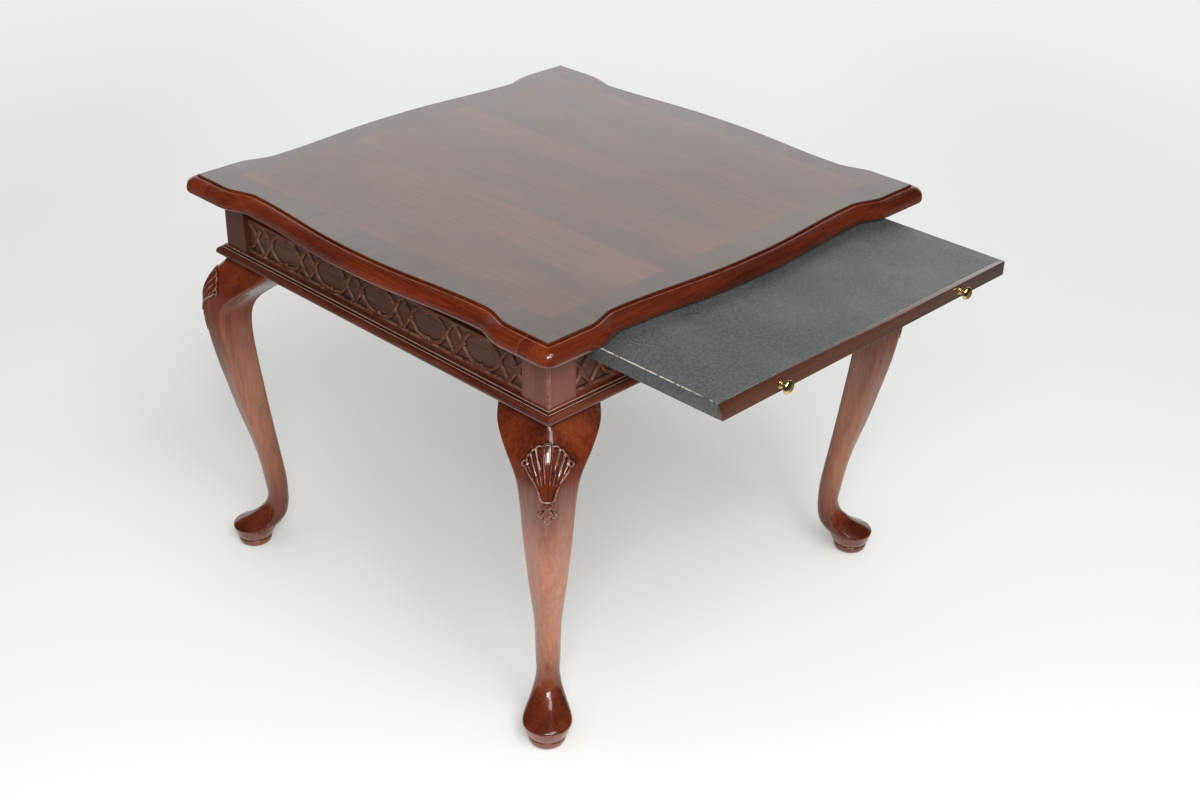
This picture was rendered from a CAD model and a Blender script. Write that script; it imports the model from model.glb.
"""The visual model of a tray top tea table: carved mahogany, veneered top, leathercloth tray.

Every new piece is a numpy surface worked out in millimetres in the model's own frame: the origin on
the floor under the middle of the top, +Z up, the front and its tray towards -Y.
"""

import bmesh
import bpy
import math
import numpy as np
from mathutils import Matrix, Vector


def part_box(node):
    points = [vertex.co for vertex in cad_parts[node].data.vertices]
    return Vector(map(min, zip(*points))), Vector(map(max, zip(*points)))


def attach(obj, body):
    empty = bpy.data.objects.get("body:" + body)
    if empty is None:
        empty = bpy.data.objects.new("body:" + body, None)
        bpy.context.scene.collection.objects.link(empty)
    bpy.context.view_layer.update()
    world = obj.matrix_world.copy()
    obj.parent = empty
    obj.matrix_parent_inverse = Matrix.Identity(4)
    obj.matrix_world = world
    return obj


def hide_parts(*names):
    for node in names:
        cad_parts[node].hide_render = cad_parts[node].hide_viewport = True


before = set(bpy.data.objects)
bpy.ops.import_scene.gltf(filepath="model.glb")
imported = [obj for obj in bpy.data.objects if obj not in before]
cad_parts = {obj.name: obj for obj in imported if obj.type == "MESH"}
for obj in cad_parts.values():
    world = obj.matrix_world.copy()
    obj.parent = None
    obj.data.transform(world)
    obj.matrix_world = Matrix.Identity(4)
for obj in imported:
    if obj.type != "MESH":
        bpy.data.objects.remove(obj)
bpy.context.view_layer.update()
MM = 0.001                         # metres in a millimetre
WELD = 2e-6                        # points closer than this, in metres, become one

# each corner's turn from the back right one; each side's turn from the right-hand one, and the axes
# along and across it
CORNERS = {"back_right": 0, "back_left": 90, "front_left": 180, "front_right": 270}
SIDES = {"front": (-90, "X", "Y"), "right": (0, "Y", "X"),
         "back": (90, "X", "Y"), "left": (180, "Y", "X")}


# ---- curves and grids --------------------
def smooth_rows(at, stations, values):
    """Natural cubic spline through rows of values: the second slopes solve one banded system, and
    each stretch between two stations is the cubic with those second slopes at its ends."""
    stations = np.asarray(stations, float)
    values = np.asarray(values, float).reshape(len(stations), -1)
    step = np.diff(stations)
    count = len(stations)
    system = np.eye(count)
    inner = np.arange(1, count - 1)
    system[inner, inner - 1] = step[:-1] / 6
    system[inner, inner] = (step[:-1] + step[1:]) / 3
    system[inner, inner + 1] = step[1:] / 6
    rise = np.diff(values, axis=0) / step[:, None]
    right = np.zeros_like(values)
    right[1:-1] = np.diff(rise, axis=0)
    bend = np.linalg.solve(system, right)
    at = np.clip(np.asarray(at, float), stations[0], stations[-1])
    k = np.clip(np.searchsorted(stations, at, side="right") - 1, 0, count - 2)
    h = step[k][:, None]
    b = (at - stations[k])[:, None] / h
    a = 1 - b
    return (a * values[k] + b * values[k + 1]
            + ((a ** 3 - a) * bend[k] + (b ** 3 - b) * bend[k + 1]) * h * h / 6)


def ease(low, high, x):
    """0 below low, 1 above high, and a smooth cubic step between."""
    s = np.clip((x - low) / (high - low), 0.0, 1.0)
    return s * s * (3 - 2 * s)


def spread(stops, spacings):
    """Stations along a line: equal steps of about the given spacing between each pair of stops."""
    parts = []
    for start, end, spacing in zip(stops, stops[1:], spacings):
        count = max(1, int(round(abs(end - start) / spacing)))
        parts.append(np.linspace(start, end, count, endpoint=False))
    return np.concatenate(parts + [np.array([stops[-1]])])


def points_at(x, y, z):
    """Points from their coordinates, each spread over the shape that all three make together."""
    return np.stack(np.broadcast_arrays(x, y, z), axis=-1)


def cos_sin(degrees):
    return math.cos(math.radians(degrees)), math.sin(math.radians(degrees))


def turned(points, degrees):
    """Points turned by quarter turns about the upright axis through the origin."""
    c, s = map(round, cos_sin(degrees))
    x, y, z = np.moveaxis(points, -1, 0)
    return points_at(c * x - s * y, s * x + c * y, z)


def grid_faces(rows, columns, round_about=True, flip=False):
    """Quads of a grid of rows by columns; the last column joins the first where it goes round."""
    r = np.arange(rows - 1)[:, None]
    c = np.arange(columns if round_about else columns - 1)[None, :]
    after = (c + 1) % columns
    quads = np.stack([r * columns + c, r * columns + after,
                      (r + 1) * columns + after, (r + 1) * columns + c], axis=-1).reshape(-1, 4)
    return quads[:, ::-1] if flip else quads


def closed_grid(points, flip=False):
    """Vertices and faces of rings of points, closed at the first and last ring by a flat cap."""
    rows, columns = points.shape[:2]
    first = list(range(columns))
    last = [(rows - 1) * columns + k for k in first]
    caps = [first, last[::-1]] if flip else [first[::-1], last]
    return points.reshape(-1, 3), grid_faces(rows, columns, flip=flip).tolist() + caps


def poled_grid(points):
    """Vertices and faces of rings of points, closed at both ends by a fan to the ring's centre."""
    rows, columns = points.shape[:2]
    low_pole, high_pole = [np.full(columns, rows * columns + end) for end in (0, 1)]
    k = np.arange(columns)
    after = (k + 1) % columns
    last = (rows - 1) * columns
    fans = np.stack([low_pole, after, k, high_pole, last + k, last + after], axis=1).reshape(-1, 3)
    poles = np.stack([points[0].mean(axis=0), points[-1].mean(axis=0)])
    faces = grid_faces(rows, columns).tolist() + fans.tolist()
    return np.concatenate([points.reshape(-1, 3), poles]), faces


def make_piece(name, shape, body, material, nodes=(), marks=None, crease=38.0):
    """An object at the origin from vertices in millimetres and faces: coinciding points become one,
    and it is smooth but for its creases. Marks are values per point that its material reads."""
    vertices, faces = shape
    mesh = bpy.data.meshes.new(name)
    mesh.from_pydata((np.asarray(vertices) * MM).tolist(), [], faces)
    for mark, values in (marks or {}).items():
        layer = mesh.attributes.new(mark, "FLOAT", "POINT")
        padded = np.zeros(len(mesh.vertices), np.float32)
        padded[:values.size] = values.ravel()
        layer.data.foreach_set("value", padded)
    joined = bmesh.new()
    joined.from_mesh(mesh)
    bmesh.ops.remove_doubles(joined, verts=joined.verts, dist=WELD)
    joined.to_mesh(mesh)
    joined.free()
    mesh.shade_smooth()
    mesh.set_sharp_from_angle(angle=math.radians(crease))
    mesh.materials.append(material)
    piece = bpy.data.objects.new(name, mesh)
    bpy.context.scene.collection.objects.link(piece)
    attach(piece, body)
    if nodes:
        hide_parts(*nodes)
    return piece


# ---- shader groups --------------------
class Nodes:
    """Short ways to add and join the nodes of one tree."""

    def __init__(self, tree):
        self.tree = tree

    def feed(self, node, values):
        """Joins each socket to the node's input of that name, or sets it to a plain value."""
        for key, value in values.items():
            if isinstance(value, bpy.types.NodeSocket):
                self.tree.links.new(value, node.inputs[key])
            else:
                node.inputs[key].default_value = value
        return node

    def add(self, kind, values=None, **settings):
        node = self.tree.nodes.new(kind)
        for key, value in settings.items():
            setattr(node, key, value)
        return self.feed(node, values or {})

    def place(self):
        return self.add("ShaderNodeTexCoord").outputs["Object"]

    def mark(self, name):
        """The value that a piece carries at each of its points under this name."""
        return self.add("ShaderNodeAttribute", attribute_name=name).outputs["Fac"]

    def math(self, operation, a, b=0.0):
        return self.add("ShaderNodeMath", {0: a, 1: b}, operation=operation).outputs[0]

    def product(self, a, b):
        return self.math("MULTIPLY", a, b)

    def stretch(self, vector, scale):
        node = self.add("ShaderNodeVectorMath", {0: vector, 1: scale}, operation="MULTIPLY")
        return node.outputs[0]

    def drawn_out(self, vector, share):
        """The vector for a pattern that is as many times longer along X as the share is below 1."""
        return self.stretch(vector, (share, 1.0, 1.0))

    def dot(self, vector, direction):
        node = self.add("ShaderNodeVectorMath", {0: vector, 1: direction}, operation="DOT_PRODUCT")
        return node.outputs["Value"]

    def span(self, value, low, high, to_low=0.0, to_high=1.0):
        """A smooth step from one value to another between low and high."""
        node = self.add("ShaderNodeMapRange", {
            "Value": value, "From Min": low, "From Max": high, "To Min": to_low, "To Max": to_high},
            interpolation_type="SMOOTHSTEP")
        return node.outputs["Result"]

    def blend(self, factor, a, b):
        return self.add("ShaderNodeMix", {0: factor, 2: a, 3: b}, data_type="FLOAT").outputs[0]

    def mix(self, factor, a, b):
        """A colour between two, each a socket or three plain values."""
        a, b = [c if isinstance(c, bpy.types.NodeSocket) else (*c, 1.0) for c in (a, b)]
        return self.add("ShaderNodeMix", {0: factor, 6: a, 7: b}, data_type="RGBA").outputs[2]

    def noise(self, vector, scale, detail=4.0, roughness=0.55, distortion=0.0, output="Fac"):
        node = self.add("ShaderNodeTexNoise", {
            "Vector": vector, "Scale": scale, "Detail": detail, "Roughness": roughness,
            "Distortion": distortion})
        return node.outputs[output]

    def rays(self):
        """Whether a ray is the camera's own, and whether it was mirrored or went through glass."""
        path = self.add("ShaderNodeLightPath").outputs
        mirrored = self.math("MAXIMUM", path["Is Glossy Ray"], path["Is Transmission Ray"])
        return path["Is Camera Ray"], mirrored

    def bump(self, height, strength, distance, **more):
        """A normal pressed by a height, whose full range is the distance in metres."""
        values = {"Height": height, "Strength": strength, "Distance": distance, **more}
        return self.add("ShaderNodeBump", values).outputs[0]


def new_group(name, numbers, outputs):
    """An empty shader group that reads a vector and the named numbers, and puts out named values:
    its helper, its inputs inside, and the node that takes its results."""
    group = bpy.data.node_groups.new(name, "ShaderNodeTree")
    group.interface.new_socket("Vector", in_out="INPUT", socket_type="NodeSocketVector")
    for label, value in numbers.items():
        socket = group.interface.new_socket(label, in_out="INPUT", socket_type="NodeSocketFloat")
        socket.default_value = value
    for label in outputs:
        group.interface.new_socket(label, in_out="OUTPUT", socket_type="NodeSocketFloat")
    n = Nodes(group)
    return n, n.add("NodeGroupInput").outputs, n.add("NodeGroupOutput")


def wood_group():
    """Mahogany figure on a vector in metres whose X runs with the grain: broad tone, streaks and
    pores. Each is a noise drawn out along the grain, to its width over its share."""
    numbers = {"Seed": 0.0, "Broad Scale": 14.0, "Fine Scale": 150.0}
    n, given, out = new_group("mahogany_figure", numbers, ["Broad", "Streak", "Pores"])
    broad_share, streak_share, pore_share, pore_scale = 0.16, 0.035, 0.06, 1500.0
    shift = n.add("ShaderNodeCombineXYZ", {0: given["Seed"], 1: given["Seed"]}).outputs[0]
    place = n.add("ShaderNodeVectorMath", {0: given["Vector"], 1: shift}).outputs[0]
    broad = n.noise(n.drawn_out(place, broad_share), given["Broad Scale"], 3.0, 0.5, 0.35)
    streak = n.noise(n.drawn_out(place, streak_share), given["Fine Scale"], 3.0, 0.55, 0.1)
    pore = n.noise(n.drawn_out(place, pore_share), pore_scale, 2.0, 0.5)
    n.feed(out, {"Broad": broad, "Streak": streak, "Pores": n.span(pore, 0.60, 0.72)})
    return n.tree


def lacquer_group():
    """A used lacquer: slow haze, and a few hairline scratches that cross one another in patches."""
    n, given, out = new_group("lacquer_wear", {}, ["Haze", "Scratches"])
    hair_share, hair_scale, patch_scale = 0.022, 520.0, 13.0
    scratches = 0.0
    for turn, seed in ((0.5, 0.0), (-0.9, 3.0), (1.9, 7.0)):
        laid = n.add("ShaderNodeMapping", {"Vector": given["Vector"], "Rotation": (0.0, 0.0, turn),
                                           "Location": (seed,) * 3}).outputs[0]
        hair = n.noise(n.drawn_out(laid, hair_share), hair_scale, 0.0, 0.5)
        patch = n.span(n.noise(laid, patch_scale, 1.0), 0.60, 0.68)
        scratches = n.math("MAXIMUM", scratches, n.product(n.span(hair, 0.74, 0.79), patch))
    haze = n.noise(given["Vector"], 6.0, 4.0, 0.6, 0.4)
    n.feed(out, {"Haze": haze, "Scratches": scratches})
    return n.tree


def leathercloth_group():
    """Pressed pebble grain, long soft creases, rubbed patches and fine mottle of a vinyl cloth."""
    n, given, out = new_group("leathercloth_grain", {}, ["Pebble", "Crease", "Rubbed", "Mottle"])
    vector = given["Vector"]
    fine_scale, pebble_scale, crease_scale, rub_scale, unevenness = 300.0, 700.0, 26.0, 11.0, 0.0012
    waver = n.stretch(n.noise(vector, fine_scale, 2.0, 0.5, output="Color"), (unevenness,) * 3)
    bent = n.add("ShaderNodeVectorMath", {0: vector, 1: waver}).outputs[0]
    pebble = n.add("ShaderNodeTexVoronoi", {"Vector": bent, "Scale": pebble_scale},
                   feature="SMOOTH_F1").outputs["Distance"]
    crease = n.noise(n.stretch(vector, (1.0, 0.35, 1.0)), crease_scale, 3.0, 0.6, 1.2)
    rubbed = n.noise(n.stretch(vector, (1.0, 0.5, 1.0)), rub_scale, 5.0, 0.65, 0.3)
    mottle = n.span(n.noise(vector, fine_scale, 2.0, 0.6), 0.35, 0.65)
    n.feed(out, {"Pebble": pebble, "Crease": crease, "Rubbed": rubbed, "Mottle": mottle})
    return n.tree


# ---- materials --------------------
WOOD = wood_group()
LACQUER = lacquer_group()
LEATHERCLOTH = leathercloth_group()
GRAIN_TURN = {"X": (0.0, 0.0, 0.0), "Y": (0.0, 0.0, math.pi / 2), "Z": (0.0, math.pi / 2, 0.0)}
LACQUER_IOR = 1.5
UNDER_LACQUER = 0.12               # how much rougher the wood under the lacquer is than its gloss
LEAST_ROUGH = 0.29                 # the wood under the lacquer is never smoother than this
HAZE_RANGE = 0.07


def new_material(name):
    """An empty material, its helper and its shader."""
    material = bpy.data.materials.new(name)
    material.use_nodes = True
    material.node_tree.nodes.clear()
    n = Nodes(material.node_tree)
    shader = n.add("ShaderNodeBsdfPrincipled")
    n.add("ShaderNodeOutputMaterial", {0: shader.outputs[0]})
    return material, n, shader


def shade(colour, share):
    """The colour as dark as this share of itself."""
    return tuple(share * c for c in colour)


def wood_figure(n, grain, numbers, streaks, streak_share):
    """The figure of wood whose grain runs along the named axis, and how light it is at each place:
    its broad tone and its streaks, added in their shares."""
    along = n.add("ShaderNodeMapping", {"Vector": n.place(), "Rotation": GRAIN_TURN[grain]},
                  vector_type="TEXTURE").outputs[0]
    figure = n.add("ShaderNodeGroup", {"Vector": along, **numbers}, node_tree=WOOD).outputs
    broad = n.product(n.span(figure["Broad"], 0.3, 0.7), 1 - streak_share)
    streak = n.product(n.span(figure["Streak"], *streaks), streak_share)
    return figure, n.math("ADD", broad, streak)


def mahogany(name, grain, tones, worn=(0.45, 0.2, 0.1), seed=0.0, gloss=0.16, specular=0.2,
             coat=1.0, broad=14.0, pores=0.3, scratches=0.12, unbroken=0.0, marked=True, pale=None,
             post=None):
    """Lacquered mahogany: two tones in broad figure and fine streaks, dark pores, worn arrises.
    Where a piece is marked with a tone or as post, it goes over to the pale or the post's pair."""
    material, n, shader = new_material(name)
    place = n.place()
    numbers = {"Seed": seed, "Broad Scale": broad, "Fine Scale": 330.0}
    figure, lightness = wood_figure(n, grain, numbers, (0.36, 0.66), 0.38)
    lacquer = n.add("ShaderNodeGroup", {"Vector": place}, node_tree=LACQUER).outputs
    colour = n.mix(lightness, *tones)
    for mark, pair in (("tone", pale), ("post", post)):
        if pair:
            colour = n.mix(n.mark(mark), colour, n.mix(lightness, *pair))
    colour = n.mix(n.product(figure["Pores"], pores), colour, shade(tones[0], 0.45))
    if marked:
        colour = n.mix(n.product(n.mark("recess"), 0.85), colour, shade(tones[0], 0.16))
        broken = n.span(n.noise(place, 90.0, 4.0, 0.7), 0.38 - unbroken, 0.62 - unbroken)
        colour = n.mix(n.product(n.mark("wear"), broken), colour, worn)
    colour = n.mix(n.product(lacquer["Scratches"], scratches), colour, worn)
    rough = max(gloss + UNDER_LACQUER, LEAST_ROUGH)
    haze = n.span(lacquer["Haze"], 0.3, 0.7, rough, rough + HAZE_RANGE)
    n.feed(shader, {
        "Base Color": colour, "Roughness": haze, "Specular IOR Level": specular,
        "Coat Weight": coat, "Coat Roughness": gloss * 0.5, "Coat IOR": LACQUER_IOR})
    return material


def plain_wood(name, grain, tones, rough=0.75):
    """Planed timber without lacquer, for what lies inside the frame."""
    material, n, shader = new_material(name)
    figure, lightness = wood_figure(n, grain, {}, (0.35, 0.68), 0.5)
    n.feed(shader, {"Base Color": n.mix(lightness, *tones), "Roughness": rough,
                    "Normal": n.bump(figure["Streak"], 0.3, 0.0002)})
    return material


def metal(name, colour, tarnish, rough, worn_rough):
    """Turned metal: a polish that is a little tarnished and duller in patches."""
    material, n, shader = new_material(name)
    patches = n.noise(n.place(), 240.0, 4.0, 0.6)
    n.feed(shader, {"Base Color": n.mix(n.span(patches, 0.45, 0.7), colour, tarnish),
                    "Metallic": 1.0, "Roughness": n.span(patches, 0.35, 0.7, rough, worn_rough)})
    return material


def leathercloth(name):
    """Black vinyl cloth with a pressed grain, rubbed lighter in patches and along its edges."""
    black, rubbed_black, fleck, backing = (
        (0.046, 0.050, 0.050), (0.076, 0.081, 0.079), (0.135, 0.143, 0.140), (0.62, 0.56, 0.47))
    material, n, shader = new_material(name)
    place = n.place()
    grain = n.add("ShaderNodeGroup", {"Vector": place}, node_tree=LEATHERCLOTH).outputs
    colour = n.mix(n.span(grain["Rubbed"], 0.42, 0.72), black, rubbed_black)
    colour = n.mix(n.product(grain["Mottle"], 0.5), colour, fleck)
    broken = n.span(n.noise(place, 130.0, 4.0, 0.7), 0.40, 0.56)
    colour = n.mix(n.product(n.mark("wear"), broken), colour, backing)
    pebble = n.bump(grain["Pebble"], 0.55, 0.00035)
    n.feed(shader, {
        "Base Color": colour, "Roughness": n.span(grain["Rubbed"], 0.3, 0.75, 0.42, 0.34),
        "Specular IOR Level": 1.0, "Normal": n.bump(grain["Crease"], 0.3, 0.0008, Normal=pebble)})
    return material


# the dark and the light tone of each mahogany
EDGE = ((0.052, 0.006, 0.0015), (0.205, 0.031, 0.0050))
FIELD = ((0.042, 0.020, 0.013), (0.150, 0.054, 0.025))
BAND = ((0.038, 0.021, 0.0155), (0.090, 0.044, 0.0285))
LEG = ((0.060, 0.0080, 0.0020), (0.215, 0.0365, 0.0075))
LEG_PALE = ((0.275, 0.092, 0.047), (0.490, 0.190, 0.100))
POST = ((0.125, 0.033, 0.019), (0.205, 0.066, 0.040))
FRAME = ((0.060, 0.014, 0.007), (0.170, 0.048, 0.022))
STRAP = ((0.088, 0.022, 0.012), (0.200, 0.060, 0.033))
GROUND = ((0.078, 0.032, 0.023), (0.150, 0.071, 0.052))
TRAY_BAND = ((0.032, 0.009, 0.005), (0.105, 0.030, 0.014))
BARE = ((0.235, 0.135, 0.068), (0.40, 0.255, 0.145))
STAINED = ((0.012, 0.006, 0.004), (0.026, 0.013, 0.009))


# ---- the legs --------------------
POST_INNER = 260.4
POST_FACE = 303.0
FRAME_BOTTOM = 449.7
TOP_UNDERSIDE = 537.0
FOOT_CENTRE = 302.3

# height, inner side past the post's inner face, outer side past its outer face, and the roundings
# of the outer, side and inner corners; a negative inner side is the reach of the knee's bracket
LEG_SECTIONS = np.array([
    (28.4, 10.7, 28.9, 30.2, 30.2, 30.2),
    (30.2, 10.0, 28.0, 29.0, 30.0, 30.0),
    (33.0, 7.6, 23.2, 22.0, 28.8, 28.8),
    (36.0, 5.7, 17.7, 16.5, 27.0, 27.0),
    (40.0, 4.2, 11.6, 14.0, 24.8, 24.6),
    (45.0, 2.7, 4.9, 13.2, 22.0, 21.8),
    (50.0, 2.1, -0.2, 13.0, 19.6, 19.4),
    (55.0, 1.7, -4.3, 13.0, 17.6, 17.4),
    (61.0, 1.5, -8.1, 13.2, 15.8, 15.6),
    (68.0, 1.3, -10.8, 13.6, 14.6, 14.4),
    (75.0, 1.2, -12.4, 14.1, 14.1, 14.1),
    (95.0, 1.3, -12.0, 13.9, 13.9, 13.9),
    (123.0, 3.3, -9.0, 14.0, 14.2, 13.8),
    (157.0, 7.0, -4.1, 14.2, 14.0, 13.0),
    (190.0, 10.7, 2.9, 14.6, 13.2, 11.5),
    (223.0, 14.4, 10.3, 15.1, 11.6, 9.6),
    (255.0, 17.7, 16.5, 16.0, 10.2, 7.8),
    (283.0, 20.6, 22.0, 17.0, 9.2, 6.4),
    (310.0, 23.1, 26.8, 18.2, 8.6, 5.2),
    (337.0, 24.7, 30.7, 19.8, 8.4, 4.5),
    (358.0, 24.6, 33.0, 21.0, 8.4, 4.0),
    (373.0, 22.4, 33.7, 21.4, 8.5, 3.6),
    (384.5, 17.8, 33.2, 21.0, 8.8, 3.2),
    (394.0, 10.4, 31.8, 19.6, 9.2, 2.4),
    (405.0, -1.6, 28.8, 17.0, 9.8, 0.6),
    (417.0, -16.2, 23.4, 15.0, 10.4, 0.4),
    (430.0, -31.0, 15.0, 12.6, 10.6, 0.4),
    (443.0, -40.6, 4.4, 8.6, 10.0, 0.4),
    (449.7, -43.0, 1.0, 4.0, 9.0, 0.4),
])
# the pad under the ankle: radius and height, from its rim down to its sole
PAD_PROFILE = np.array([
    (30.35, 28.1), (30.2, 27.4), (29.75, 26.0), (28.8, 22.9), (27.2, 18.6), (25.3, 14.6),
    (24.1, 12.4), (22.8, 11.5), (22.5, 10.7), (23.3, 10.0), (23.5, 8.0), (22.8, 4.2), (21.5, 1.9),
    (20.2, 1.2),
])
PAD_GROOVE = 10.9                  # height of the groove above the sole
# columns of points round a leg: inner corner, bracket, its back, side corner, face, outer corner
INNER_COLUMNS, ARM_COLUMNS, BACK_COLUMNS = 7, 3, 6
SIDE_COLUMNS, FACE_COLUMNS, OUTER_COLUMNS = 12, 56, 70
CROWDING = 0.6                     # how much closer the face's columns lie towards the outer corner
CARVE_TILT = math.radians(31.7)    # the carver's pattern is laid on the knee this far above level
FOCUS_DROP = 55.1                  # the shell's focus on the tilted pattern plane, in its height
CARVED_FROM, CARVED_TO = (320.0, 325.0), (441.0, 438.0)
PALE_FROM, PALE_TO = (45.0, 140.0), (392.0, 252.0)


def arc(across, along, radius, start, end, count):
    """An arc for each ring, from its centre's coordinates and its radius, between two angles."""
    bend = np.radians(np.linspace(start, end, count))
    return np.stack([across[:, None] + radius[:, None] * np.cos(bend),
                     along[:, None] + radius[:, None] * np.sin(bend)], axis=-1)


def between(start, end, shares):
    """Points at the given shares of the way from one point of each ring to another."""
    shares = shares[None, :, None]
    return start[:, None] * (1 - shares) + end[:, None] * shares


def level_sections(near, far, outer, side, inner):
    """Rings of points: level squares from near to far, rounded at each corner. Where near falls
    short of the post's inner face, the ring leaves it in two arms, the brackets, out to near."""
    root = np.maximum(near, POST_INNER)
    in_bracket = near < POST_INNER
    inner_arc = arc(root + inner, root + inner, inner, -180, -90, INNER_COLUMNS)
    inner_arc = inner_arc[:, INNER_COLUMNS // 2:]
    side_arc = arc(far - side, near + side, side, -90, 0, SIDE_COLUMNS)
    outer_arc = arc(far - outer, far - outer, outer, 0, 45, OUTER_COLUMNS // 2 + 1)
    start = inner_arc[:, -1]
    foot = np.stack([np.where(in_bracket, root, start[:, 0]), np.where(in_bracket, near, root)], -1)
    arm_shares = np.arange(1, ARM_COLUMNS + 1) / (ARM_COLUMNS + 1)
    back_shares = np.arange(BACK_COLUMNS + 1) / (BACK_COLUMNS + 1)
    u = 1 - np.arange(1, FACE_COLUMNS + 1) / (FACE_COLUMNS + 1)
    face_shares = 1 - ((1 - CROWDING) * u + CROWDING * u * u)
    half = np.concatenate([
        inner_arc, between(start, foot, arm_shares), between(foot, side_arc[:, 0], back_shares),
        side_arc, between(side_arc[:, -1], outer_arc[:, 0], face_shares), outer_arc], axis=1)
    twin = half[:, ::-1, ::-1]
    return np.concatenate([half, twin[:, 1:-1]], axis=1)


def on_levels(rings, heights):
    """Gives rings of plan points their heights."""
    return points_at(rings[..., 0], rings[..., 1], np.asarray(heights)[:, None])


# the shell is drawn from its focus: p across the pattern, q up it, ribs at angles from its middle
RIB_ANGLES = np.array([0.0, 4.2, 10.5, 16.0, 21.7])
CUSP_RADII = np.array([75.0, 75.0, 73.3, 69.3, 64.7])     # of the notches between scallops
SCALLOP_BULGE = np.array([4.0, 2.3, 1.8, 2.0])            # each scallop's middle past its notches
TOP_LEAN, SIDE_LEAN = 0.94, 0.88   # distances along radius and width, as distances to the outline
FAN_START, V_REACH = 33.0, 61.0    # the fan opens at this height, and the V ends at this radius
TIP_HEIGHT, TIP_HALVES, TIP_DEPTH = 18.5, (8.9, 6.6), 6.8
OUTSIDE = -9.0                     # a distance well outside any outline
# the shell's half width at heights over the focus, from its tip up to its shoulders
SHELL_SIDE = np.array([
    (10.0, 6.6), (14.0, 7.7), (20.0, 9.2), (26.0, 11.0), (31.0, 12.9), (36.0, 15.6), (41.0, 18.9),
    (46.0, 22.2), (52.0, 25.0), (60.0, 27.0),
])
CURL_AT, CURL_RADIUS = (25.0, 56.2), 3.9
EYE_AT, EYE_RADIUS = (24.7, 56.7), 3.0
# how far the carving stands out: its field, the bead round it, its ribs, the curls, the flower
FIELD_RAISE, BORDER_BEAD, RIB_BEAD, CURL_BEAD, FLOWER_RAISE = 1.15, 0.62, 0.50, 0.45, 1.05
# how deep it is cut: the flutes at their foot and gain towards the top, the V's field, eyes, veins
FLUTE_FOOT, FLUTE_GAIN, V_CUT, EYE_CUT, VEIN_CUT = 0.45, 1.5, 0.35, 0.9, 1.7
# the bud under the V and the petals under it: middle across and up, half width and half height
BUD, BUD_RAISE = (0.0, 7.8, 4.2, 3.8), 2.0
PETALS = ((6.2, -0.6, 4.6, 3.8), (0.0, -6.0, 4.0, 6.2), (0.0, 1.4, 5.2, 4.4))
# the petals' veins: middle across and up, tilt in degrees, length
VEINS = ((5.6, 2.6, 42.0, 2.8), (4.0, -4.2, -58.0, 2.6))


def bead(distance, width):
    """A rounded ridge of height 1 along distance 0."""
    return np.exp(-(distance / width) ** 2)


def oval(p, q, across, up, half_width, half_height):
    """How far out from an oval's middle a place lies: 1 on the oval itself."""
    return np.hypot((p - across) / half_width, (q - up) / half_height)


def shell_outline(p, q):
    """Distance inside the shell's outline, negative outside it: a scalloped fan about the focus, a
    V with a round tip below it, and a curl at each shoulder. Also the distances inside the scallops
    and the sides, the place across its flute from -1 to 1, and the place's radius and angle."""
    radius = np.hypot(p, q)
    turn = np.abs(np.degrees(np.arctan2(p, q)))
    flute = np.clip(np.searchsorted(RIB_ANGLES[1:], turn), 0, 3)
    low = np.where(flute == 0, -RIB_ANGLES[1], RIB_ANGLES[flute])
    share = np.clip((turn - low) / (RIB_ANGLES[flute + 1] - low), 0, 1)
    start = CUSP_RADII[np.where(flute == 0, 1, flute)]
    scallop = start + (CUSP_RADII[flute + 1] - start) * share
    scallop = scallop + SCALLOP_BULGE[flute] * 4 * share * (1 - share)
    top = (scallop - radius) * TOP_LEAN
    side = (np.interp(q, SHELL_SIDE[:, 0], SHELL_SIDE[:, 1]) - np.abs(p)) * SIDE_LEAN
    rib_side = (RIB_ANGLES[4] - turn) * radius * math.radians(1)
    fan = np.where(q > FAN_START, np.minimum(top, rib_side), OUTSIDE)
    tip = TIP_DEPTH * (1 - oval(p, q, 0.0, TIP_HEIGHT, *TIP_HALVES))
    wedge = np.where(q < TIP_HEIGHT, tip, np.minimum(side, V_REACH - radius))
    curl = CURL_RADIUS - np.hypot(np.abs(p) - CURL_AT[0], q - CURL_AT[1])
    return np.maximum(np.maximum(fan, wedge), curl), top, side, 2 * share - 1, radius, turn


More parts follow.
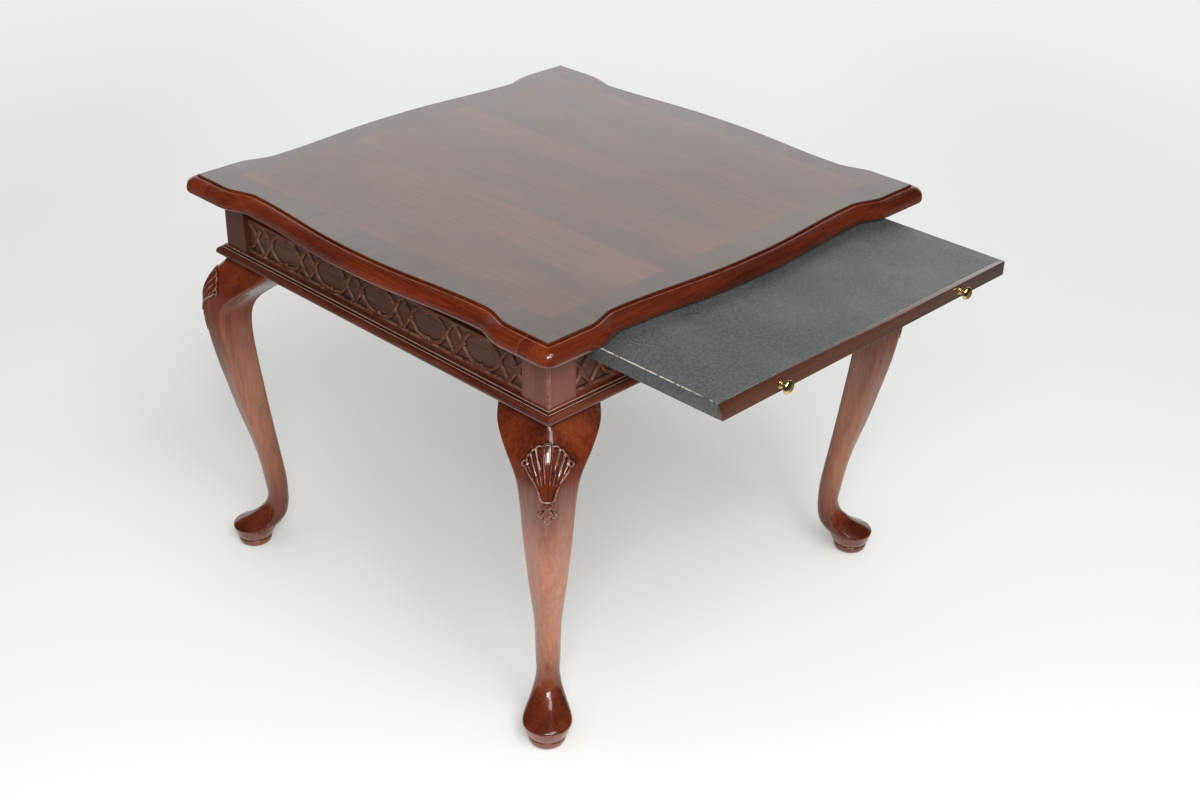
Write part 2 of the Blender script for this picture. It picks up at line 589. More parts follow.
def fan_relief(p, q):
    """Height of the shell over the knee: a raised field with a bead along its outline, hollow
    flutes between beaded ribs, a flute down each side, a smooth V, and a round eye in each curl."""
    inside, top, side, across, radius, turn = shell_outline(p, q)
    edge_rib = RIB_ANGLES[4]
    low = ease(56.0, 46.0, radius)
    edge = bead(inside - 0.75 - 0.25 * low, 0.62 + 0.3 * low) * (BORDER_BEAD + 0.25 * low)
    ribs = np.zeros_like(p)
    for angle in RIB_ANGLES[1:]:
        ribs = np.maximum(ribs, bead((turn - angle) * radius * math.radians(1), 0.5))
    ribs = RIB_BEAD * ribs * ease(31.0, 37.0, radius) * (inside > 0) * (top > -0.3)
    depth = ease(30.0, 70.0, radius) * FLUTE_GAIN + FLUTE_FOOT
    hollow = depth * (1 - np.abs(across) ** 2.4) * ease(1.0, 3.4, top) * ease(30.5, 36.0, radius)
    relief = FIELD_RAISE * ease(-0.75, 0.55, inside) + np.maximum(edge, ribs)
    relief -= hollow * ((turn < edge_rib) & (top > 0))
    beside_fan = (turn > edge_rib - 0.6) & (side > 0) & (radius < 58.0) & (radius > 34.0)
    relief -= 0.55 * bead(side - 2.7, 0.8) * beside_fan * ease(34.0, 42.0, radius)
    relief -= V_CUT * ease(1.2, 2.8, inside) * ease(35.0, 31.0, radius)
    eye = np.hypot(np.abs(p) - EYE_AT[0], q - EYE_AT[1])
    relief += CURL_BEAD * bead(eye - EYE_RADIUS, 0.6) - EYE_CUT * ease(2.2, 0.9, eye)
    return relief - 0.25 * bead(inside + 1.2, 0.6) * (q > 18.0)


def shell_relief(p, q):
    """Height of the whole carving at pattern coordinates: the shell, the round bud under its V, and
    a bellflower whose petals are ovals with a bead along their edge and a vein cut in each."""
    bud = BUD_RAISE * np.sqrt(np.clip(1 - oval(p, q, *BUD) ** 2, 0, 1))
    relief = np.maximum(fan_relief(p, q), bud * (q < 12.5))
    leaf = 1 - np.min([oval(np.abs(p), q, *petal) for petal in PETALS], axis=0)
    flower = FLOWER_RAISE * ease(-0.12, 0.24, leaf) + 0.35 * bead(leaf - 0.22, 0.12)
    relief += flower * ease(5.4, 3.8, q)
    for middle_p, middle_q, tilt, length in VEINS:
        c, t = cos_sin(tilt)
        along = (np.abs(p) - middle_p) * c - (q - middle_q) * t
        beside = (np.abs(p) - middle_p) * t + (q - middle_q) * c
        relief -= VEIN_CUT * np.exp(-(along / length) ** 2 * 1.6 - (beside / 0.8) ** 2)
    return relief


def hollows_and_arrises(relief, reach=3):
    """How far each point lies below, and above, the mean of the relief around it."""
    total = np.zeros_like(relief)
    for row in range(-reach, reach + 1):
        for column in range(-reach, reach + 1):
            total += np.roll(np.roll(relief, row, axis=0), column, axis=1)
    mean = total / (2 * reach + 1) ** 2
    return np.clip(mean - relief, 0, None), np.clip(relief - mean, 0, None)


def carve(shaft):
    """Moves a shaft's points along its normals by the relief of the carving. Also how dark its
    hollows are and how worn its arrises."""
    along = np.gradient(shaft, axis=0)
    around = np.roll(shaft, -1, axis=1) - np.roll(shaft, 1, axis=1)
    normal = np.cross(around, along)
    normal /= np.maximum(np.linalg.norm(normal, axis=-1, keepdims=True), 1e-9)
    x, y, z = np.moveaxis(shaft, -1, 0)
    outward, across = (x + y) / math.sqrt(2), (y - x) / math.sqrt(2)
    up = z * math.cos(CARVE_TILT) - outward * math.sin(CARVE_TILT) - FOCUS_DROP
    facing = (normal[..., 0] + normal[..., 1]) > 0.25
    within = ease(*CARVED_FROM, z) * ease(*CARVED_TO, z)
    relief = np.where(facing, shell_relief(across, up), 0.0) * within
    hollow, arris = hollows_and_arrises(relief)
    recess, wear = np.clip(hollow * 2.9, 0, 1) * within, np.clip(arris * 2.3, 0, 0.85) * within
    return shaft + normal * relief[..., None], recess, wear


def pad_rings(lowest):
    """The turned pad under the shaft's lowest ring: its profile goes round at the sole, and takes
    that ring's own outline towards the rim."""
    radius, height = PAD_PROFILE[::-1].T
    base = lowest[:, :2] - FOOT_CENTRE
    direction = base / np.linalg.norm(base, axis=1, keepdims=True)
    like_rim = ease(11.0, 27.0, height)[:, None, None]
    plan = direction * (1 - like_rim) + base / radius[-1] * like_rim
    return on_levels(FOOT_CENTRE + plan * radius[:, None, None], height)


def leg_shape():
    """The back right leg as rings of points from its sole up to the top of its post, with the
    brackets beside its knee, and the marks of its finish."""
    heights = spread([28.4, 62.0, 318.0, 325.0, 441.0, FRAME_BOTTOM], [0.85, 2.7, 0.9, 0.5, 1.2])
    rows = smooth_rows(heights, LEG_SECTIONS[:, 0], LEG_SECTIONS[:, 1:])
    sections = level_sections(POST_INNER + rows[:, 0], POST_FACE + rows[:, 1], *rows[:, 2:].T)
    shaft, carved_recess, carved_wear = carve(on_levels(sections, heights))
    pad = pad_rings(shaft[0])
    both = np.ones(2)
    post = level_sections(both * POST_INNER, both * POST_FACE, both * 3.2, both * 0.6, both * 0.6)
    post = on_levels(post, [FRAME_BOTTOM + 0.01, TOP_UNDERSIDE - 0.1])
    rings = np.concatenate([pad, shaft, post])
    low, high = len(pad), len(pad) + len(shaft)
    height = rings[..., 2]
    recess, wear, tone, on_post = np.zeros((4,) + height.shape)
    foot, neck = 0.32 * ease(62.0, 44.0, height), 0.8 * ease(440.0, 449.0, height)
    recess[low:high] = np.maximum(carved_recess, np.maximum(foot, neck)[low:high])
    recess[np.abs(height - PAD_GROOVE) < 0.7] = 0.8
    wear[low:high] = carved_wear
    wear[low - 1:low + 1] = 0.5
    wear[high:] = 0.4 * ease(602.2, 603.2, rings[high:, :, 0] + rings[high:, :, 1])
    tone[:] = ease(*PALE_FROM, height) * ease(*PALE_TO, height) + 0.45 * ease(27.9, 26.5, height)
    on_post[high:] = 1.0
    return rings, {"recess": recess, "wear": wear, "tone": tone, "post": on_post}


def make_legs():
    """Four legs with their knee brackets, each turned to its corner; the front left is faded."""
    rings, marks = leg_shape()
    for k, (corner, angle) in enumerate(CORNERS.items()):
        pale_share, post_share = (1.0, 1.1) if corner == "front_left" else (0.70, 0.50)
        material = mahogany("leg_mahogany_" + corner, "Z", LEG, seed=3.7 * k, broad=22.0,
                            gloss=0.14, worn=(0.42, 0.235, 0.165),
                            pale=[shade(colour, pale_share) for colour in LEG_PALE],
                            post=[shade(colour, post_share) for colour in POST])
        nodes = ["leg_" + corner, "knee_bracket_%s_a" % corner, "knee_bracket_%s_b" % corner]
        make_piece("cabriole_leg_" + corner, poled_grid(turned(rings, angle)), "table", material,
                   nodes, marks, crease=50.0)


# ---- the top --------------------
TOP_HEIGHT = 560.0
TOP_HALF = 323.4
CORE_HALF = 300.0
EAR_START, WAIST_AT, WAIST_DEPTH, BELLY = 262.0, 214.0, 12.0, 1.5
BAND_INNER = TOP_HALF - 41.4
EDGE_JOINT = TOP_HALF - 32.0
JOINT_LINE = 0.35                  # how far past a joint its pale line reaches
VENEER_BOTTOM = TOP_HEIGHT - 1.0
# the edge moulding's section from the underside up: how far past the top's outline, and height
EDGE_PROFILE = np.array([
    (9.6, 537.0), (11.6, 537.05), (12.9, 537.35), (14.1, 538.1), (15.0, 539.3), (15.5, 540.9),
    (15.6, 542.8), (15.45, 545.0), (15.05, 547.2), (14.3, 549.4), (13.2, 551.4), (11.7, 553.2),
    (9.8, 554.7), (7.6, 555.8), (5.4, 556.5), (3.7, 556.9), (2.9, 557.1), (2.45, 557.0),
    (2.2, 556.75), (1.5, 556.6), (0.6, 556.6), (0.12, 556.8), (0.0, 557.3), (0.0, VENEER_BOTTOM),
])
CREST, QUIRK = 16, slice(18, 22)   # the section's highest point, and its sunk ones


def outline_depth(t):
    """How far a side of the top is drawn in at t from its middle: an ear, an S, a long bow."""
    t = np.abs(t)
    s = np.clip((EAR_START - t) / (EAR_START - WAIST_AT), 0, 1)
    shoulder = WAIST_DEPTH * s * s * (3 - 2 * s)
    wave = (1 - np.cos(math.pi * np.clip(t / WAIST_AT, 0, 1) ** 1.15)) / 2
    return np.where(t >= WAIST_AT, shoulder, (WAIST_DEPTH + BELLY) * wave - BELLY)


def side_path(t):
    """Points and outward normals along the right-hand side's outline."""
    step = 0.05
    slope = (outline_depth(t + step) - outline_depth(t - step)) / (2 * step)
    points = np.stack([TOP_HALF - outline_depth(t), t], axis=1)
    normals = np.stack([np.ones_like(t), slope], axis=1) / np.hypot(1, slope)[:, None]
    return points, normals


def edge_path(with_corners):
    """The edge moulding's path on the right-hand side: up to the joints, or round both corners."""
    reach = TOP_HALF if with_corners else EDGE_JOINT
    near_joint = EDGE_JOINT - 2 * JOINT_LINE
    stations = spread([-reach, -near_joint, -EAR_START, -WAIST_AT, WAIST_AT, EAR_START, near_joint,
                       reach], [3.0, 3.0, 1.3, 3.0, 1.3, 3.0, 3.0])
    if not with_corners:
        stations = np.unique(np.append(stations, [JOINT_LINE - reach, reach - JOINT_LINE]))
        return side_path(stations)
    points, normals = side_path(stations)
    bend = np.radians(np.arange(6.0, 90.0, 6.0))
    corner = np.full((len(bend), 2), TOP_HALF)
    fan = np.stack([np.cos(bend), np.sin(bend)], axis=1)
    leg = np.concatenate([np.arange(TOP_HALF, EDGE_JOINT + 1.0, -3.0),
                          EDGE_JOINT + JOINT_LINE * np.array([2.0, 1.0, 0.0])])
    beyond = np.stack([leg, np.full_like(leg, TOP_HALF)], axis=1)
    up = np.broadcast_to([0.0, 1.0], beyond.shape)
    points = np.concatenate([points, corner, beyond])
    normals = np.concatenate([normals, fan, up])
    mirror = np.array([1.0, -1.0])
    tail = len(corner) + len(beyond)
    return (np.concatenate([points[-tail:][::-1] * mirror, points]),
            np.concatenate([normals[-tail:][::-1] * mirror, normals]))


def edge_shape(with_corners):
    """The moulding's section carried along its path, closed along the core's straight sides."""
    points, normals = edge_path(with_corners)
    count = len(EDGE_PROFILE)
    rings = np.empty((len(points), count + 2, 3))
    rings[:, :count, :2] = points[:, None] + normals[:, None] * EDGE_PROFILE[:, 0][None, :, None]
    rings[:, :count, 2] = EDGE_PROFILE[:, 1]
    core = np.clip(points, -CORE_HALF, CORE_HALF)
    core[normals[:, 0] > 0.5, 0] = CORE_HALF
    rings[:, count:, :2] = core[:, None]
    rings[:, count:, 2] = VENEER_BOTTOM, TOP_UNDERSIDE
    wear, recess = np.zeros((2,) + rings.shape[:2])
    wear[[0, -1]] = 0.6
    wear[:, CREST] = 0.8
    recess[:, QUIRK] = 0.15
    run = np.broadcast_to(ease(0.3, 0.95, normals[:, 0])[:, None], wear.shape)
    return rings, {"wear": wear, "recess": recess, "tone": run}


def make_edges():
    """Four pieces of edge moulding: front and back hold the corners, left and right sit between."""
    for k, (side, (angle, grain, _)) in enumerate(SIDES.items()):
        rings, marks = edge_shape(side in ("front", "back"))
        run = [shade(colour, 0.62) for colour in EDGE] if side == "front" else None
        material = mahogany("edge_mahogany_" + side, grain, EDGE, seed=2.3 * k, gloss=0.08,
                            broad=26.0, unbroken=0.1, worn=(0.62, 0.26, 0.14), pale=run)
        make_piece("edge_moulding_" + side, closed_grid(turned(rings, angle)), "table", material,
                   ["top_edge_" + side], marks)


def crossband_shape():
    """The right-hand border strip: mitred ends, a straight inner edge and the top's own outline.
    Each row has its share of the way out, its distance past that along the normal, its height."""
    t = spread([-TOP_HALF, -EAR_START, -WAIST_AT, WAIST_AT, EAR_START, TOP_HALF],
               [4.0, 1.6, 4.0, 1.6, 4.0])
    outer, normals = side_path(t)
    inner = np.stack([np.full_like(t, BAND_INNER), t * BAND_INNER / TOP_HALF], axis=1)
    flat = [(share, 0.0, TOP_HEIGHT) for share in (0.0, 0.02, 0.25, 0.5, 0.75, 0.95)]
    arris = [(1.0, -0.28, TOP_HEIGHT - 0.06), (1.0, -0.08, TOP_HEIGHT - 0.22),
             (1.0, 0.0, TOP_HEIGHT - 0.5), (1.0, 0.0, VENEER_BOTTOM)]
    rows = np.array([(0.0, 0.0, VENEER_BOTTOM), *flat, (1.0, -0.55, TOP_HEIGHT), *arris])
    share, past, height = rows[:, None].T
    rings = np.empty((len(t), len(rows), 3))
    rings[..., :2] = (inner[:, None] * (1 - share.T) + outer[:, None] * share.T
                      + normals[:, None] * past.T)
    rings[..., 2] = height
    wear = np.zeros(rings.shape[:2])
    wear[:, -len(arris):] = 1.0
    return rings, wear


def make_top():
    """Border strips as new pieces; the three leaves and the core keep their own solids."""
    rings, wear = crossband_shape()
    for k, (side, (angle, _, grain)) in enumerate(SIDES.items()):
        material = mahogany("crossband_mahogany_" + side, grain, BAND, seed=1.3 * k, gloss=0.12,
                            specular=0.5, broad=30.0, pores=0.0, scratches=0.0, unbroken=0.3,
                            worn=(0.085, 0.016, 0.005))
        make_piece("border_strip_" + side, closed_grid(turned(rings, angle), flip=True), "table",
                   material, ["crossband_" + side], {"wear": wear})
    for k, name in enumerate(("left", "centre", "right")):
        material = mahogany("field_mahogany_" + name, "Y", FIELD, seed=5.1 * k + 0.4, gloss=0.12,
                            specular=0.5, broad=9.0, pores=0.0, scratches=0.0, marked=False)
        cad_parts["veneer_leaf_" + name].material_slots[0].material = material


# ---- frame --------------------
MOULDING_PROFILE = np.array([
    (293.0, 463.5), (304.9, 463.5), (305.3, 463.35), (305.4, 463.0), (305.4, 462.3), (305.5, 461.9),
    (306.2, 461.1), (307.2, 460.75), (308.1, 460.7), (308.45, 460.55), (308.55, 460.2),
    (308.55, 459.5), (308.8, 459.25), (309.5, 459.2), (310.9, 458.7), (312.4, 457.2),
    (313.4, 455.2), (313.8, 453.4), (313.6, 451.6), (312.9, 450.4), (311.9, 449.8),
    (311.2, 449.7), (293.0, 449.7),
])
# the points of that section on its two arrises and in its two sunk lines
LEDGE_ARRIS, FILLET_ARRIS, COVE, QUIRK_BELOW = slice(2, 4), 9, slice(5, 8), slice(11, 13)


def make_mouldings():
    """The base moulding: its section carried along each side, mitred at the corners."""
    reach, height = MOULDING_PROFILE.T
    cuts = np.linspace(-1.0, 1.0, 6)[:, None]
    rings = points_at(reach, cuts * reach, height)
    wear, recess = np.zeros((2,) + rings.shape[:2])
    wear[:, LEDGE_ARRIS] = 0.5
    wear[:, FILLET_ARRIS] = 1.0
    recess[:, COVE] = recess[:, QUIRK_BELOW] = 0.7
    for k, (side, (angle, grain, _)) in enumerate(SIDES.items()):
        material = mahogany("moulding_mahogany_" + side, grain, (EDGE[0], FRAME[1]), seed=4.1 * k,
                            gloss=0.12, unbroken=0.15, worn=(0.72, 0.52, 0.44))
        make_piece("base_moulding_run_" + side, closed_grid(turned(rings, angle), flip=True),
                   "table", material, ["base_moulding_" + side],
                   {"wear": wear, "recess": recess})


FRET_FACE = 296.5
FRET_BACK = 293.0
FRET_LOW = 463.5
FRET_HIGH = 510.0
FRET_PITCH = 92.0
STRAP_HALF = 2.0
BORDER = 3.6
FOOT_STRIP, FOOT_STRIP_STEP = (467.4, 466.9), 1.5
OVAL_HEIGHT, OVAL_REACH = 18.9, 31.8
# each cusp: how far it stands out, how fast it narrows, and half the width it is looked for in
TOP_CUSP, END_CUSP, CUSP_LEAN = (3.0, 0.95, 6.0), (3.4, 0.85, 6.0), 0.7
# one strap's centre line from an oval's middle to the border between two ovals
STRAP_LINE = np.array([
    (0.0, OVAL_HEIGHT), (7.0, 18.7), (12.5, 17.9), (18.0, 15.7), (22.5, 12.6), (27.0, 7.4),
    (OVAL_REACH, 0.0),
    (35.2, -5.6), (39.2, -11.2), (42.9, -15.9), (46.0, -19.6),
])


def cusp(across, into, shape):
    """How far inside a pointed lobe a place lies, at a distance across its middle line and one
    out from its foot; far outside it at more than its half width."""
    height, narrowing, half_width = shape
    lobe = (height - across * narrowing - np.maximum(into, 0)) * CUSP_LEAN
    return np.where(across < half_width, lobe, OUTSIDE)


def fret_solid(y, z):
    """How far inside the fret's wood a place on a panel lies, negative over its ground: borders
    along head and foot, two crossing straps of one wave each, and the small cusps of each oval."""
    u = np.abs((y + FRET_PITCH / 2) % FRET_PITCH - FRET_PITCH / 2)
    v = z - (FRET_LOW + FRET_HIGH) / 2
    table_u = np.linspace(0, FRET_PITCH / 2, 461)
    table = smooth_rows(table_u, STRAP_LINE[:, 0], STRAP_LINE[:, 1])[:, 0]
    slope = np.interp(u, table_u, np.gradient(table, table_u))
    line = np.interp(u, table_u, table)
    strap = np.minimum(np.abs(v - line), np.abs(v + line)) / np.hypot(1, slope)
    border = np.abs(v) - ((FRET_HIGH - FRET_LOW) / 2 - BORDER)
    top_cusp = cusp(u, OVAL_HEIGHT - STRAP_HALF - np.abs(v), TOP_CUSP)
    end_cusp = cusp(np.abs(v), OVAL_REACH - STRAP_HALF * 1.25 - u, END_CUSP)
    end_cusp = np.where(u < OVAL_REACH, end_cusp, OUTSIDE)
    return np.max([STRAP_HALF - strap, border, top_cusp, end_cusp], axis=0)


def fret_shape():
    """A fretwork panel: one relief over its ground with soft arrises, the plain strip at its foot,
    and a flat back. Its marks are dark beside the wood, worn along it, and show the ground."""
    y, z = np.meshgrid(spread([-POST_INNER, POST_INNER], [0.56]),
                       spread([FRET_LOW, FRET_HIGH], [0.56]))
    solid = fret_solid(y, z)
    ground = FRET_BACK + 0.08
    raised = ease(-0.30, 0.25, solid)
    strip = ease(*FOOT_STRIP, z)
    depth = ground + (FRET_FACE - ground) * raised
    depth = np.maximum(depth, FRET_FACE + FOOT_STRIP_STEP * strip + OUTSIDE * (1 - strip))
    depth -= 0.18 * (1 - ease(0.0, 0.8, solid)) * raised
    front = points_at(depth, y, z)
    back = front[[0, -1]][:, [0, -1]].copy()
    back[..., 0] = FRET_BACK
    rows, columns = depth.shape
    n = rows * columns
    number = np.arange(n).reshape(rows, columns)
    edges = number[0], number[-1], number[:, 0], number[:, -1]
    low, high, left, right = [edge.tolist() for edge in edges]
    faces = grid_faces(rows, columns, round_about=False).tolist()
    faces += [[n, n + 1] + low[::-1], [n + 3, n + 2] + high, [n + 2, n] + left,
              [n + 1, n + 3] + right[::-1], [n + 1, n, n + 2, n + 3]]
    marks = {"recess": 0.9 * ease(0.05, -0.35, solid) * ease(-2.2, -0.7, solid) * (1 - strip),
             "wear": 0.9 * bead(solid - 0.3, 0.4), "tone": ease(0.15, -0.25, solid) * (1 - strip)}
    return np.concatenate([front.reshape(-1, 3), back.reshape(-1, 3)]), faces, marks


def make_frets():
    """Four fretwork panels, one on each side of the frame."""
    vertices, faces, marks = fret_shape()
    for k, (side, (angle, grain, _)) in enumerate(SIDES.items()):
        material = mahogany("fretwork_mahogany_" + side, grain, STRAP, seed=6.3 * k, gloss=0.36,
                            specular=0.3, coat=0.0, worn=(0.36, 0.20, 0.14), pale=GROUND)
        make_piece("fretwork_" + side, (turned(vertices, angle), faces), "table", material,
                   ["fret_panel_" + side], marks, crease=60.0)


def dress_inside():
    """Materials for the pieces that keep their own solids."""
    bare = {grain: plain_wood("bare_wood_" + grain, grain, BARE) for grain in "XYZ"}
    rail = {grain: mahogany("rail_mahogany_" + grain, grain, FRAME, seed=8.0, gloss=0.3, coat=0.4,
                            marked=False) for grain in "XY"}
    dark = plain_wood("dark_stained_wood", "Y", STAINED, rough=0.7)
    steel = metal("screw_steel", (0.50, 0.50, 0.49), (0.34, 0.31, 0.28), 0.32, 0.5)
    chosen = {"top_core": bare["Y"], "tray_board": bare["X"], "tray_back_stop": dark}
    for node in ("block_screws", "top_screws", "knob_screws", "tray_stop_pins", "foot_glides"):
        chosen[node] = steel
    for side, (_, grain, _) in SIDES.items():
        chosen["rail_" + side] = rail[grain]
    for corner in CORNERS:
        chosen["corner_block_" + corner] = bare["Z"]
    for side in ("left", "right"):
        chosen["tray_bearer_" + side] = bare["Y"]
        chosen["tray_guide_" + side] = dark
    for node, material in chosen.items():
        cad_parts[node].material_slots[0].material = material


# ---- the tray --------------------
EDGE_RUB = 0.9                     # the cloth is rubbed this far round its two long edges
# half a knob: radius, and distance out from the tray's front
KNOB_PROFILE = np.array([
    (0.02, 0.0), (4.9, 0.0), (5.05, 0.25), (5.0, 0.9), (4.6, 1.25), (3.9, 1.5), (3.3, 2.2),
    (3.0, 3.4), (2.95, 4.8), (3.25, 6.0), (4.1, 6.9), (5.6, 7.5), (7.0, 8.0), (7.75, 8.6),
    (8.0, 9.4), (7.85, 10.3), (7.2, 11.4), (6.0, 12.5), (4.4, 13.3), (2.4, 13.8), (0.02, 14.0),
])


def soft_box(low, high, radius, steps=5):
    """A box with round long edges along X: rings of its rounded section, drawn in at the ends."""
    middle, half = (low + high) / 2, (high - low) / 2
    turn = (np.arange(4)[:, None] + np.linspace(0, 1, steps)).ravel() * math.pi / 2
    corner = np.repeat([(1, 1), (-1, 1), (-1, -1), (1, -1)], steps, axis=0) * (half[1:] - radius)
    section = corner + radius * np.stack([np.cos(turn), np.sin(turn)], axis=1)
    inset, shrink = radius * np.array([[0.0, 0.25, 0.7], [0.7, 0.2, 0.0]])
    x = np.concatenate([inset - half[0], (half[0] - inset)[::-1]])
    shrink = np.concatenate([shrink, shrink[::-1]])[:, None, None]
    y, z = np.moveaxis(middle[1:] + section * (1 - shrink / half[1:]), -1, 0)
    return points_at(middle[0] + x[:, None], y, z)


def cloth_shape(low, high, thickness, radius=1.1, steps=5, stations=12):
    """The cloth over the board's top and sides: a section like an upside-down U, as thick as the
    cloth and round at its two outer corners, carried from the front to the back."""
    (x0, y0, z0), (x1, y1, z1) = low, high
    turn = np.linspace(math.pi, math.pi / 2, steps)
    left = np.stack([x0 + radius + radius * np.cos(turn), z1 - radius + radius * np.sin(turn)], 1)
    right = left[::-1] * (-1, 1) + (x0 + x1, 0)
    x0_in, x1_in, z1_in = x0 + thickness, x1 - thickness, z1 - thickness
    inside = [(x1, z0), (x1_in, z0), (x1_in, z1_in), (x0_in, z1_in), (x0_in, z0), (x0, z0)]
    x, z = np.concatenate([left, right, inside]).T
    return points_at(x, np.linspace(y0, y1, stations)[:, None], z)


def corners_of(node):
    """Low and high corner of a CAD piece's box, in millimetres."""
    return [np.array(corner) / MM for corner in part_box(node)]


def make_tray():
    """Leathercloth cover and mahogany front band of the tray."""
    low, high = corners_of("tray_cover")
    rings = cloth_shape(low, high, high[2] - corners_of("tray_board")[1][2])
    wear = np.zeros(rings.shape[:2])
    on_top = rings[..., 2] > high[2] - EDGE_RUB
    wear[on_top & (rings[..., 0] < low[0] + EDGE_RUB)] = 1.0
    wear[on_top & (rings[..., 0] > high[0] - EDGE_RUB)] = 0.5
    make_piece("tray_leathercloth", closed_grid(rings), "tray", leathercloth("black_leathercloth"),
               ["tray_cover"], {"wear": wear})
    band = soft_box(*corners_of("tray_front_band"), 0.8)
    material = mahogany("band_mahogany", "X", TRAY_BAND, seed=9.0, gloss=0.2)
    make_piece("tray_band", closed_grid(band), "tray", material,
               ["tray_front_band"])


def make_knobs():
    """Two turned brass knobs: their profile carried round an axis square to the tray's front."""
    tray_front = corners_of("tray_front_band")[0][1]
    brass = metal("knob_brass", (0.83, 0.61, 0.27), (0.60, 0.40, 0.15), 0.12, 0.28)
    count = len(KNOB_PROFILE)
    fine = np.linspace(0, count - 1, 4 * count)
    radius, out = smooth_rows(fine, np.arange(count), KNOB_PROFILE).T
    turn = np.linspace(0, 2 * math.pi, 48, endpoint=False)
    across, up = radius[:, None] * np.cos(turn), radius[:, None] * np.sin(turn)
    for side in ("left", "right"):
        middle = sum(corners_of("knob_" + side)) / 2
        rings = points_at(middle[0] + across, tray_front - out[:, None], middle[2] + up)
        make_piece("brass_knob_" + side, poled_grid(rings), "tray", brass,
                   ["knob_" + side], crease=60.0)


# ---- stage --------------------
VIEW_TURN, VIEW_RISE, VIEW_ROLL = -45.9105, 29.2839, 1.1819
VIEW_SHIFT, VIEW_DISTANCE = (0.1122, -0.0614), 4.1602     # in heights of the table
FOCAL_SHARE = 1710.13 / 1200.0     # focal length as a share of the sensor's width
SENSOR = 36.0
VIEW_ACROSS, VIEW_NEARER = (0.696, -0.718, 0.0), (-0.718, -0.696, 0.0)
LAMP_AIM = np.array([0, 0, 0.35])
# turn and rise in degrees, distance and size in metres, power in watts
LAMPS = {"softbox_right": (-8, 55, 4.5, 1.6, 42.0), "umbrella_front": (-28, 39, 4.0, 1.3, 44.0),
         "umbrella_core": (-46, 34, 2.3, 0.46, 13.0)}
AMBIENT_LOW, AMBIENT_HIGH = 0.36, 0.86
# strength of the mirrored screen, of what is mirrored elsewhere, and of what the camera sees
SCREEN, LEAST_MIRRORED, WORLD_SEEN = 1.22, 0.03, 0.952


def facing(turn, rise):
    """Right, up and backward directions of what looks at the table from this turn and rise."""
    (along, aside), (level, above) = cos_sin(turn), cos_sin(rise)
    right = np.array([along, aside, 0.0])
    back = np.array([aside * level, -along * level, above])
    return right, np.cross(back, right), back


def stand(name, data, right, up, back, place):
    """An object for a camera or a lamp, with its own directions and its place in metres."""
    item = bpy.data.objects.new(name, data)
    matrix = np.eye(4)
    matrix[:3] = np.stack([right, up, back, place], axis=1)
    item.matrix_world = matrix.T.tolist()
    bpy.context.scene.collection.objects.link(item)
    return item


def make_camera():
    """The camera, worked out from its turn about the table, its rise, its roll and its distance."""
    right, up, back = facing(VIEW_TURN, VIEW_RISE)
    aim = np.array([0, 0, 0.5]) + VIEW_SHIFT[0] * right + VIEW_SHIFT[1] * up
    place = (aim + back * VIEW_DISTANCE) * TOP_HEIGHT * MM
    c, t = cos_sin(VIEW_ROLL)
    data = bpy.data.cameras.new("view")
    data.sensor_width = SENSOR
    data.lens = FOCAL_SHARE * SENSOR
    data.clip_end = 60.0
    right, up = c * right + t * up, c * up - t * right
    bpy.context.scene.camera = stand("view", data, right, up, back, place)


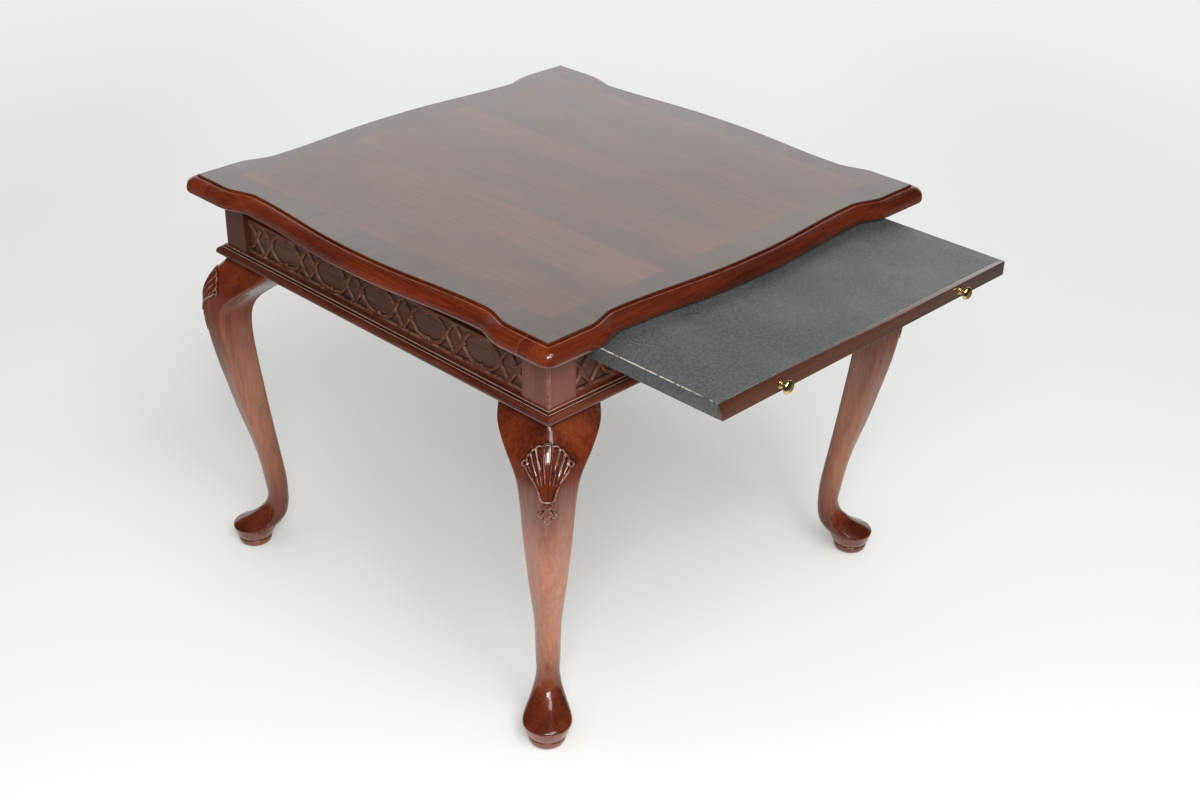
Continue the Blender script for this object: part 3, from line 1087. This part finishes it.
def make_floor():
    """A plain pale floor. The camera also sees a little light of its own, more at a distance from
    the table and less close beside it. Mirrored, it is dark beside the table and before it."""
    half = 14.0
    mesh = bpy.data.meshes.new("floor")
    mesh.from_pydata([(-half, -half, 0), (half, -half, 0), (half, half, 0), (-half, half, 0)], [],
                     [(0, 1, 2, 3)])
    floor = bpy.data.objects.new("floor", mesh)
    bpy.context.scene.collection.objects.link(floor)
    material, n, shader = new_material("floor_paper")
    place = n.place()
    aside = n.math("ABSOLUTE", n.dot(place, VIEW_ACROSS))
    beside = n.math("MAXIMUM", n.span(aside, 0.55, 1.05, 0.0, 0.75),
                    n.span(n.dot(place, VIEW_NEARER), 0.74, 1.08))
    seen, mirrored = n.rays()
    far = n.add("ShaderNodeVectorMath", {0: place}, operation="LENGTH").outputs["Value"]
    dimmed = n.product(n.span(aside, 0.45, 1.2, 0.0, 0.3), n.span(far, 1.4, 3.4, 1.0, 0.0))
    glow = n.product(n.span(far, 0.6, 3.0, 0.17, 0.34), n.math("SUBTRACT", 1.0, dimmed))
    n.feed(shader, {
        "Base Color": n.mix(n.product(mirrored, beside), (0.80, 0.80, 0.785), (0.0, 0.0, 0.0)),
        "Roughness": 0.9, "Specular IOR Level": 0.1, "Emission Color": (0.99, 1.0, 0.99, 1.0),
        "Emission Strength": n.product(seen, glow)})
    mesh.materials.append(material)


def make_world():
    """Soft white surroundings, brighter on the camera's side and above. Mirrored, they are a bright
    screen low behind the table and nearly dark elsewhere, and the camera sees them plain."""
    world = bpy.data.worlds.new("studio")
    bpy.context.scene.world = world
    world.use_nodes = True
    world.node_tree.nodes.clear()
    n = Nodes(world.node_tree)
    direction = n.add("ShaderNodeTexCoord").outputs["Generated"]
    height = n.add("ShaderNodeSeparateXYZ", {0: direction}).outputs["Z"]
    behind = n.dot(direction, (0.70, 0.71, 0.0))
    screen = n.product(n.span(behind, 0.58, 0.80), n.span(height, 0.60, 0.43))
    mirrored = n.math("ADD", n.product(screen, SCREEN), LEAST_MIRRORED)
    before = n.dot(direction, (-0.60, -0.60, 0.53))
    light = n.span(before, -0.5, 0.8, AMBIENT_LOW, AMBIENT_HIGH)
    seen, by_mirror = n.rays()
    ambient = n.blend(seen, light, WORLD_SEEN)
    background = n.add("ShaderNodeBackground", {"Strength": n.blend(by_mirror, ambient, mirrored)})
    n.add("ShaderNodeOutputWorld", {0: background.outputs[0]})


def make_lamps():
    """Soft square lamps that face the table's middle."""
    for name, (turn, rise, distance, size, power) in LAMPS.items():
        right, up, back = facing(turn, rise)
        data = bpy.data.lights.new(name, "AREA")
        data.shape = "SQUARE"
        data.size = size
        data.energy = power
        stand(name, data, right, up, back, LAMP_AIM + back * distance)


make_camera()
make_floor()
make_world()
make_lamps()
make_legs()
make_edges()
make_top()
make_mouldings()
make_frets()
dress_inside()
make_tray()
make_knobs()

bpy.context.scene.view_settings.view_transform = "Standard"
